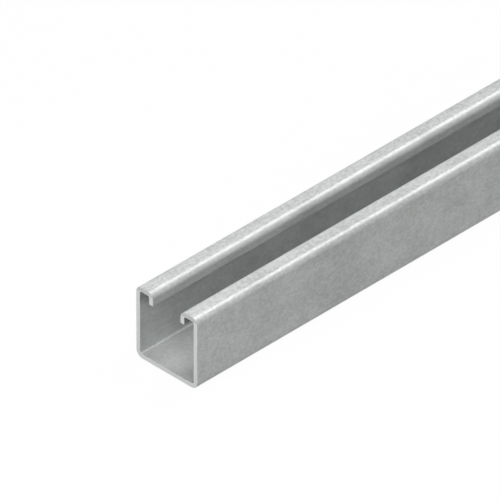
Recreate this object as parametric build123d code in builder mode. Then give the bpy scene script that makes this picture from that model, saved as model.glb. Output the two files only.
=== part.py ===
"""Lipped C-channel, cold formed in one piece from a galvanised steel strip.

Frame: +X along the channel, +Z out through the slot, origin on the outside of the back,
midway along the channel and midway between the side walls.
"""

from build123d import *
import os

# Driving dimensions, in millimetres
length = 300.0  # cut length of the channel
width = 40.0  # over the two side walls
height = 40.0  # outside of the back to the top of the flanges
sheet = 2.5  # thickness of the strip
slot_width = 18.0  # clear gap between the two lips
lip_depth = 7.0  # top of the flanges to the tips of the lips
back_bend_radius = 1.6  # inside radius where back and side wall meet
flange_bend_radius = 1.0  # inside radius where side wall and flange meet
lip_bend_radius = 1.0  # inside radius where flange and lip meet
tip_radius = 0.4  # rounding of the slit edges of the strip, at the lips' tips
end_break = 0.1  # rounding of the edges round each cut end

# Places worked out from them
wall_face = width / 2
lip_face = slot_width / 2
tip_height = height - lip_depth

# The strip is bent to one thickness, so each outside radius is the inside one plus the sheet
bend_radii = [
    lip_bend_radius + sheet,
    flange_bend_radius + sheet,
    back_bend_radius + sheet,
    back_bend_radius + sheet,
    flange_bend_radius + sheet,
    lip_bend_radius + sheet,
]

os.makedirs("parts", exist_ok=True)

with BuildPart() as channel:
    # The section follows the outer skin of the strip, from one lip's tip round to the other's
    with BuildSketch(Plane.YZ.offset(-length / 2)) as section:
        with BuildLine():
            FilletPolyline(
                (-lip_face, tip_height),
                (-lip_face, height),
                (-wall_face, height),
                (-wall_face, 0),
                (wall_face, 0),
                (wall_face, height),
                (lip_face, height),
                (lip_face, tip_height),
                radius=bend_radii,
            )
            offset(amount=sheet, side=Side.LEFT)
        make_face()
        tips = section.vertices().filter_by_position(
            Axis.Y, tip_height - tip_radius, tip_height + tip_radius
        )
        fillet(tips, radius=tip_radius)
    extrude(amount=length)

    # The saw's burr is dressed off all round both cut ends
    cut_ends = channel.faces().filter_by(Axis.X)
    fillet(cut_ends.edges(), radius=end_break)

channel.part.label = "channel"
export_step(channel.part, "parts/channel.step")
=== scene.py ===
import math

import bmesh
import bpy
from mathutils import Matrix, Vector


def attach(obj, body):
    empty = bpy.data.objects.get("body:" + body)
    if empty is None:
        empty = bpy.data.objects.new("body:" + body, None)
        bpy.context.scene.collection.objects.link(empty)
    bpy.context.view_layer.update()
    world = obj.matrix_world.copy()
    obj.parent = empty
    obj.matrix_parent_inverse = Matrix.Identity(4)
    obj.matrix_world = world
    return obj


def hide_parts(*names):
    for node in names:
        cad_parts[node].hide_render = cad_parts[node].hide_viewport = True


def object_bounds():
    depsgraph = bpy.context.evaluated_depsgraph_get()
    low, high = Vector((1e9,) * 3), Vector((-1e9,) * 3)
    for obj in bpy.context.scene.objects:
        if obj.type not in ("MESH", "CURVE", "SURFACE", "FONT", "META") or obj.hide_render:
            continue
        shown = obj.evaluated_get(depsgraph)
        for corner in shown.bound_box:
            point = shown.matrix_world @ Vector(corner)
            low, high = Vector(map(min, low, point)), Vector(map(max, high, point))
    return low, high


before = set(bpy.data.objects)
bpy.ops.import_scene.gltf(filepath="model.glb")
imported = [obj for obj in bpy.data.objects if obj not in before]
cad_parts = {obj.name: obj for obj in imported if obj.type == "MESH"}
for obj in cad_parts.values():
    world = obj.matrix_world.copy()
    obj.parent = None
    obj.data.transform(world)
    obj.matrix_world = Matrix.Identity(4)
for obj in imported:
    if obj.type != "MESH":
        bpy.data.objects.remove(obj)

cadLow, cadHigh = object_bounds()
millimetre = 0.001
black = (0, 0, 0, 1)
white = (1, 1, 1, 1)


# Camera

viewpoint = {
    "azimuth": 315,  # degrees, from the front left corner
    "elevation": math.degrees(math.asin(1 / math.sqrt(3))),  # the elevation of an isometric view
    "lens": 1500,  # mm, long enough to look like a parallel view
    "sensor": 36,  # mm
    "distance": 9.666,  # metres
    "aim": (-0.0733, 0.0224, 0.020),  # metres, the point in the middle of the picture
    "clipStart": 0.1,  # metres
    "clipEnd": 60,  # metres
}


def backOf(azimuth, elevation):
    # from the object to the camera or lamp; azimuth 0 is in front, on the -Y side
    turn, tilt = math.radians(azimuth), math.radians(elevation)
    return Vector((
        math.sin(turn) * math.cos(tilt),
        -math.cos(turn) * math.cos(tilt),
        math.sin(tilt),
    ))


def addCamera(view):
    back = backOf(view["azimuth"], view["elevation"])
    data = bpy.data.cameras.new("camera")
    data.lens = view["lens"]
    data.sensor_width = view["sensor"]
    data.clip_start = view["clipStart"]
    data.clip_end = view["clipEnd"]
    camera = bpy.data.objects.new("camera", data)
    bpy.context.scene.collection.objects.link(camera)
    camera.location = Vector(view["aim"]) + back * view["distance"]
    camera.rotation_euler = back.to_track_quat("Z", "Y").to_euler()
    bpy.context.scene.camera = camera


addCamera(viewpoint)
print("camera placed")


# Material building

class Wire:
    # an output socket that can be used in a sum
    def __init__(self, finish, socket):
        self.finish = finish
        self.socket = socket

    def __add__(self, other):
        return self.finish.work("ADD", self, other)

    def __radd__(self, other):
        return self.finish.work("ADD", other, self)

    def __sub__(self, other):
        return self.finish.work("SUBTRACT", self, other)

    def __rsub__(self, other):
        return self.finish.work("SUBTRACT", other, self)

    def __mul__(self, other):
        return self.finish.work("MULTIPLY", self, other)

    def __rmul__(self, other):
        return self.finish.work("MULTIPLY", other, self)


class Finish:
    # a node tree, of a material or of the world
    def __init__(self, owner):
        self.owner = owner
        owner.use_nodes = True
        self.tree = owner.node_tree
        self.tree.nodes.clear()

    def node(self, kind, settings, inputs, output=0):
        made = self.tree.nodes.new(kind)
        for setting, value in settings.items():
            setattr(made, setting, value)
        for socket, value in inputs.items():
            if isinstance(value, Wire):
                self.tree.links.new(value.socket, made.inputs[socket])
            else:
                made.inputs[socket].default_value = value
        return Wire(self, made.outputs[output] if len(made.outputs) else None)

    def work(self, operation, first, second=0):
        return self.node("ShaderNodeMath", {"operation": operation}, {0: first, 1: second})

    def blend(self, share, first, second):
        # colours go through a Mix node, whose colour sockets are 6 and 7 and output 2
        return self.node("ShaderNodeMix", {"data_type": "RGBA"}, {0: share, 6: first, 7: second}, 2)

    def seenShare(self):
        # 1 for what the camera, a reflection or glass sees, and 0 for what only lights the object
        share = self.node("ShaderNodeLightPath", {}, {}, "Is Camera Ray")
        for ray in ("Is Glossy Ray", "Is Transmission Ray"):
            share = self.work("MAXIMUM", share, self.node("ShaderNodeLightPath", {}, {}, ray))
        return share


# Studio

studio = {
    "roomColour": (0.27, 0.27, 0.27, 1),  # the light from the room on the object
    "floorSize": 8,  # metres
    "floorColour": (0.92, 0.92, 0.92, 1),
    "floorBounce": (0.24, 0.24, 0.24, 1),  # its colour for the light it throws back on the object
    "floorRoughness": 0.9,
    "floorSpecular": 0.1,
    "floorWhite": 0.96,  # how far the floor shows as plain white; the rest keeps the shadow
    "lamps": {  # degrees, metres and watts
        "overhead": {
            "azimuth": 85, "elevation": 47, "distance": 2.8, "size": 1.6, "watts": 48,
            "aimAlong": -0.15,  # where along X the lamp is aimed at
            "highlights": True,  # whether it also makes highlights
        },
        "endSide": {
            "azimuth": 270, "elevation": 30, "distance": 0.35, "size": 0.22, "watts": 0.54,
            "aimAlong": -0.15, "highlights": False,
        },
        "front": {
            "azimuth": 318, "elevation": 34, "distance": 1.4, "size": 0.6, "watts": 4.7,
            "aimAlong": 0, "highlights": True,
        },
        "behind": {
            "azimuth": 165, "elevation": 35, "distance": 1.6, "size": 0.8, "watts": 2.2,
            "aimAlong": 0, "highlights": True,
        },
    },
}


def addWorld(setup):
    world = bpy.data.worlds.new("room")
    bpy.context.scene.world = world
    room = Finish(world)
    dim = room.node("ShaderNodeBackground", {}, {"Color": setup["roomColour"], "Strength": 1})
    plain = room.node("ShaderNodeBackground", {}, {"Color": white, "Strength": 1})
    both = room.node("ShaderNodeMixShader", {}, {0: room.seenShare(), 1: dim, 2: plain})
    room.node("ShaderNodeOutputWorld", {}, {"Surface": both})


def addFloor(setup, level):
    bpy.ops.object.select_all(action="DESELECT")
    bpy.ops.mesh.primitive_plane_add(size=setup["floorSize"], location=(0, 0, level))
    floor = bpy.context.object
    floor.name = "floor"
    paper = Finish(bpy.data.materials.new("whitePaper"))
    seen = paper.seenShare()
    matt = paper.node("ShaderNodeBsdfPrincipled", {}, {
        "Base Color": paper.blend(seen, setup["floorBounce"], setup["floorColour"]),
        "Roughness": setup["floorRoughness"],
        "Specular IOR Level": setup["floorSpecular"],
    })
    plain = paper.node("ShaderNodeEmission", {}, {"Color": white, "Strength": 1})
    both = paper.node("ShaderNodeMixShader", {}, {0: seen * setup["floorWhite"], 1: matt, 2: plain})
    paper.node("ShaderNodeOutputMaterial", {}, {"Surface": both})
    floor.data.materials.append(paper.owner)


def addLamp(name, setup):
    towards = backOf(setup["azimuth"], setup["elevation"])
    data = bpy.data.lights.new(name, "AREA")
    data.shape = "SQUARE"
    data.size = setup["size"]
    data.energy = setup["watts"]
    lamp = bpy.data.objects.new(name, data)
    bpy.context.scene.collection.objects.link(lamp)
    lamp.location = Vector((setup["aimAlong"], 0, 0)) + towards * setup["distance"]
    lamp.rotation_euler = towards.to_track_quat("Z", "Y").to_euler()
    lamp.visible_glossy = setup["highlights"]


bpy.context.scene.view_settings.view_transform = "Standard"
addWorld(studio)
addFloor(studio, cadLow.z)
for lampName, lampSetup in studio["lamps"].items():
    addLamp(lampName, lampSetup)
print("studio lit")


# Channel

channelForm = {
    "sheet": 2.5 * millimetre,
    "slotWidth": 18 * millimetre,
    "lipDepth": 7 * millimetre,
    "backBend": 4.1 * millimetre,  # outside radii of the bends
    "flangeBend": 3.5 * millimetre,
    "lipBend": 3.5 * millimetre,
    "bendSegments": 16,
    "tipRounding": 0.4 * millimetre,
    "tipSegments": 4,
    "endBreak": 0.1 * millimetre,
    "endSegments": 3,
    "smoothBelow": 40,  # degrees; faces that meet more sharply keep their edge
}
near = 0.01 * millimetre  # what counts as the same place
squareOn = 0.99  # how far along X a face's normal points, at the least, on a cut end


def chooseParts(piece, kind, isWanted):
    # selects the piece's faces or edges, in edit mode, by their place or normal
    bpy.ops.mesh.select_mode(type="FACE" if kind == "faces" else "EDGE")
    bpy.ops.mesh.select_all(action="DESELECT")
    mesh = bmesh.from_edit_mesh(piece.data)
    mesh.normal_update()
    for part in getattr(mesh, kind):
        part.select_set(isWanted(part))
    bmesh.update_edit_mesh(piece.data)


def runsAlong(edge, side, height):
    # a fold line: an edge along X at this Y and Z
    return all(abs(v.co.y - side) < near and abs(v.co.z - height) < near for v in edge.verts)


def applyModifier(piece, kind, **settings):
    modifier = piece.modifiers.new(kind.lower(), kind)
    for setting, value in settings.items():
        setattr(modifier, setting, value)
    bpy.ops.object.modifier_apply(modifier=modifier.name)


def extrudeBy(x, y, z):
    bpy.ops.mesh.extrude_edges_move(TRANSFORM_OT_translate={"value": (x, y, z)})


def foldStrip(form, low, high):
    # the outer skin of the strip: back, side walls, flanges and lips, then the six bends
    size = high - low
    middle = (low + high) / 2
    top = high.z
    flange = (size.y - form["slotWidth"]) / 2
    bpy.ops.object.select_all(action="DESELECT")
    bpy.ops.mesh.primitive_plane_add(size=1, location=(middle.x, middle.y, low.z))
    strip = bpy.context.object
    strip.name = "galvanisedChannel"
    strip.scale = (size.x, size.y, 1)
    bpy.ops.object.transform_apply(location=True, rotation=True, scale=True)
    bpy.ops.object.mode_set(mode="EDIT")
    bpy.ops.mesh.flip_normals()
    for wall, inwards in ((low.y, 1), (high.y, -1)):
        chooseParts(strip, "edges", lambda e: runsAlong(e, wall, low.z))
        extrudeBy(0, 0, size.z)
        extrudeBy(0, inwards * flange, 0)
        extrudeBy(0, 0, -form["lipDepth"])
    lip = form["slotWidth"] / 2
    folds = [
        (form["backBend"], low.z, (low.y, high.y)),
        (form["flangeBend"], top, (low.y, high.y)),
        (form["lipBend"], top, (-lip, lip)),
    ]
    for radius, height, sides in folds:
        chooseParts(strip, "edges", lambda e: any(runsAlong(e, side, height) for side in sides))
        bpy.ops.mesh.bevel(offset=radius, segments=form["bendSegments"], affect="EDGES")
    bpy.ops.object.mode_set(mode="OBJECT")
    return strip


def isTip(edge, tipHeight):
    # a long edge of the slit strip, at the tip of a lip
    first, second = (v.co for v in edge.verts)
    isLong = abs(first.x - second.x) > near
    return isLong and all(abs(end.z - tipHeight) < near for end in (first, second))


def facesEnd(face):
    return abs(face.normal.x) > squareOn


def outlinesEnd(edge):
    return len(edge.link_faces) == 2 and facesEnd(edge.link_faces[0]) != facesEnd(edge.link_faces[1])


def thickenStrip(strip, form, top):
    applyModifier(strip, "SOLIDIFY", thickness=form["sheet"], offset=-1, use_even_offset=True)
    bpy.ops.object.mode_set(mode="EDIT")
    chooseParts(strip, "edges", lambda e: isTip(e, top - form["lipDepth"]))
    bpy.ops.mesh.bevel(offset=form["tipRounding"], segments=form["tipSegments"], affect="EDGES")
    chooseParts(strip, "edges", outlinesEnd)
    bpy.ops.mesh.bevel(offset=form["endBreak"], segments=form["endSegments"], affect="EDGES")
    bpy.ops.object.mode_set(mode="OBJECT")


def smoothStrip(strip, form):
    bpy.ops.object.shade_smooth_by_angle(angle=math.radians(form["smoothBelow"]))
    applyModifier(strip, "WEIGHTED_NORMAL", keep_sharp=True)


channel = foldStrip(channelForm, cadLow, cadHigh)
thickenStrip(channel, channelForm, cadHigh.z)
smoothStrip(channel, channelForm)
print("channel folded:", len(channel.data.polygons), "faces")


# Finishes

zincLook = {  # lengths in mm
    "darkZinc": (0.430, 0.445, 0.436, 1),
    "lightZinc": (0.620, 0.640, 0.628, 1),
    "metal": 0.15,
    "roughness": 0.40,
    "roughnessShift": 0.04,  # a pale cloud is this much rougher than a dark one
    "mottle": {"size": 1.3, "detail": 3, "grain": 0.65, "contrast": 3.2},
    "cloud": {"size": 13, "detail": 2, "grain": 0.5, "contrast": 1.3},
    "spangle": {"size": 4, "contrast": 0.10},
    "stretch": 1.5,  # flecks are longer along the channel
    "bumpHeight": 0.02,
    "wallCalm": 0.30,  # the part of the flecks' contrast that is lost everywhere but on the flanges
    "insideCalm": 0.20,  # the further part that is lost inside the channel
    "slotPaintedLight": 0.035,  # painted light: how much paler a flange top is painted for each mm towards the slot
    "pocketPaintedShade": 0.35,  # painted shade: how much darker the colour is painted in the pockets behind the lips
    "flangeFrom": 2.3,  # from the slot to the start of a flange's flat look
    "flangeTo": 2.7,  # from the outside of the wall to the end of that look
    "insideTo": 3,  # from the top down to where the look of the inside ends
    "pocketFrom": 2,  # from the tips of the lips down to the middle of the soft start of the pockets' painted shade
    "blur": 1,  # how wide the step from one look to the next is
    "insideBlur": 2,
    "pocketBlur": 6,
}
cutLook = {  # lengths in mm
    "darkCut": (0.62, 0.632, 0.626, 1),
    "lightCut": (0.76, 0.775, 0.768, 1),
    "metal": 0.20,
    "roughness": 0.45,
    "speck": {"size": 0.8, "detail": 3, "grain": 0.6},
    "flangeShade": 0.20,  # how much darker the cut looks across the flanges
    "blur": 1,
    "bumpHeight": 0.01,
}
midTone = 0.5  # what the patterns give on average


def marksOf(form, look, low, high):
    # where one look gives way to the next, in mm from the middle to either side, or in mm up
    half = form["sheet"] / millimetre / 2
    slotSide = form["slotWidth"] / millimetre / 2
    wallSide = high.y / millimetre
    top = high.z / millimetre
    lipTip = top - form["lipDepth"] / millimetre
    return {
        "lipMiddle": slotSide + half,
        "flangeStart": slotSide + look["flangeFrom"],
        "flangeEnd": wallSide - look["flangeTo"],
        "wallMiddle": wallSide - half,
        "backMiddle": low.z / millimetre + half,
        "pocketStart": lipTip - look["pocketFrom"],
        "insideEnd": top - look["insideTo"],
        "flangeUnder": top - 2 * half,
        "flangeMiddle": top - half,
    }


def placeOn(finish, stretch=1):
    # millimetres on the piece, with X squeezed so that what is drawn comes out longer that way
    spot = finish.node("ShaderNodeTexCoord", {}, {}, "Object")
    return finish.node(
        "ShaderNodeMapping",
        {"vector_type": "TEXTURE"},
        {"Vector": spot, "Scale": (millimetre * stretch, millimetre, millimetre)},
    )


def asideOn(finish, place):
    # how far a spot is from the middle, to either side
    return finish.work("ABSOLUTE", finish.node("ShaderNodeSeparateXYZ", {}, {0: place}, "Y"))


def heightOn(finish, place):
    return finish.node("ShaderNodeSeparateXYZ", {}, {0: place}, "Z")


def noiseOn(finish, place, pattern):
    return finish.node(
        "ShaderNodeTexNoise",
        {},
        {
            "Vector": place, "Scale": 1 / pattern["size"],
            "Detail": pattern["detail"], "Roughness": pattern["grain"],
        },
        "Fac",
    )


def spanglesOn(finish, place, pattern):
    # one grey for each crystal of the zinc
    cells = {"Vector": place, "Scale": 1 / pattern["size"]}
    shade = finish.node("ShaderNodeTexVoronoi", {"feature": "F1"}, cells, "Color")
    return finish.node("ShaderNodeSeparateColor", {}, {0: shade}, "Red")


def stepOn(finish, value, middle, width):
    # 0 below the middle and 1 above it, with a soft step as wide as given
    return finish.node("ShaderNodeMapRange", {"interpolation_type": "SMOOTHSTEP"}, {
        "Value": value, "From Min": middle - width / 2, "From Max": middle + width / 2,
    })


def insideOn(finish, aside, height, look, marks):
    # 1 on what faces into the channel or the slot, 0 on the outside and the flanges
    within = 1 - stepOn(finish, aside, marks["wallMiddle"], look["blur"])
    above = stepOn(finish, height, marks["backMiddle"], look["blur"])
    below = 1 - stepOn(finish, height, marks["insideEnd"], look["insideBlur"])
    onLip = 1 - stepOn(finish, aside, marks["flangeStart"], look["blur"])
    return within * above * finish.work("MAXIMUM", below, onLip)


def flangeOn(finish, aside, height, look, marks):
    # 1 on the flat tops of the flanges
    beyondLip = stepOn(finish, aside, marks["flangeStart"], look["blur"])
    beforeWall = 1 - stepOn(finish, aside, marks["flangeEnd"], look["blur"])
    return beyondLip * beforeWall * stepOn(finish, height, marks["flangeMiddle"], look["blur"])


def pocketShadeOn(finish, aside, height, look, marks):
    # 1 in the two pockets, under the flanges and behind the lips, where shade is painted into the
    # colour
    within = 1 - stepOn(finish, aside, marks["wallMiddle"], look["blur"])
    behind = stepOn(finish, aside, marks["lipMiddle"], look["blur"])
    above = stepOn(finish, height, marks["pocketStart"], look["pocketBlur"])
    below = 1 - stepOn(finish, height, marks["flangeMiddle"], look["blur"])
    return within * behind * above * below


def bumpFrom(finish, pattern, depth):
    relief = {"Strength": 1, "Distance": depth * millimetre, "Height": pattern}
    return finish.node("ShaderNodeBump", {}, relief)


def makeZinc(look, marks):
    zinc = Finish(bpy.data.materials.new("galvanisedZinc"))
    place = placeOn(zinc, look["stretch"])
    aside = asideOn(zinc, place)
    height = heightOn(zinc, place)
    inside = insideOn(zinc, aside, height, look, marks)
    pocketShadeMask = pocketShadeOn(zinc, aside, height, look, marks)
    flange = flangeOn(zinc, aside, height, look, marks)
    calm = (1 - flange) * look["wallCalm"] + inside * look["insideCalm"]
    mottle = (noiseOn(zinc, place, look["mottle"]) - midTone) * (1 - calm)
    cloud = noiseOn(zinc, place, look["cloud"]) - midTone
    spangle = spanglesOn(zinc, place, look["spangle"]) - midTone
    tone = (
        midTone + mottle * look["mottle"]["contrast"] + cloud * look["cloud"]["contrast"]
        + spangle * look["spangle"]["contrast"]
        # painted light: the flange tops are painted paler towards the slot
        + flange * (marks["flangeEnd"] - aside) * look["slotPaintedLight"]
    )
    bright = zinc.blend(tone, look["darkZinc"], look["lightZinc"])
    skin = zinc.node("ShaderNodeBsdfPrincipled", {}, {
        # painted shade: the pockets are painted darker
        "Base Color": zinc.blend(pocketShadeMask * look["pocketPaintedShade"], bright, black),
        "Metallic": look["metal"],
        "Roughness": look["roughness"] + cloud * look["roughnessShift"],
        "Normal": bumpFrom(zinc, mottle, look["bumpHeight"]),
    })
    zinc.node("ShaderNodeOutputMaterial", {}, {"Surface": skin})
    return zinc.owner


def makeCut(look, marks):
    cut = Finish(bpy.data.materials.new("cutEnd"))
    place = placeOn(cut)
    speck = noiseOn(cut, place, look["speck"])
    onFlange = stepOn(cut, heightOn(cut, place), marks["flangeUnder"], look["blur"])
    bright = cut.blend(speck, look["darkCut"], look["lightCut"])
    skin = cut.node("ShaderNodeBsdfPrincipled", {}, {
        "Base Color": cut.blend(onFlange * look["flangeShade"], bright, black),
        "Metallic": look["metal"],
        "Roughness": look["roughness"],
        "Normal": bumpFrom(cut, speck, look["bumpHeight"]),
    })
    cut.node("ShaderNodeOutputMaterial", {}, {"Surface": skin})
    return cut.owner


def dressChannel(piece, zinc, cut):
    # zinc all over, and the cut look on both ends
    piece.data.materials.append(zinc)
    piece.data.materials.append(cut)
    bpy.ops.object.mode_set(mode="EDIT")
    chooseParts(piece, "faces", facesEnd)
    piece.active_material_index = 1
    bpy.ops.object.material_slot_assign()
    bpy.ops.object.mode_set(mode="OBJECT")


marks = marksOf(channelForm, zincLook, cadLow, cadHigh)
dressChannel(channel, makeZinc(zincLook, marks), makeCut(cutLook, marks))
print("finishes made")

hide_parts("channel")
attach(channel, "root")
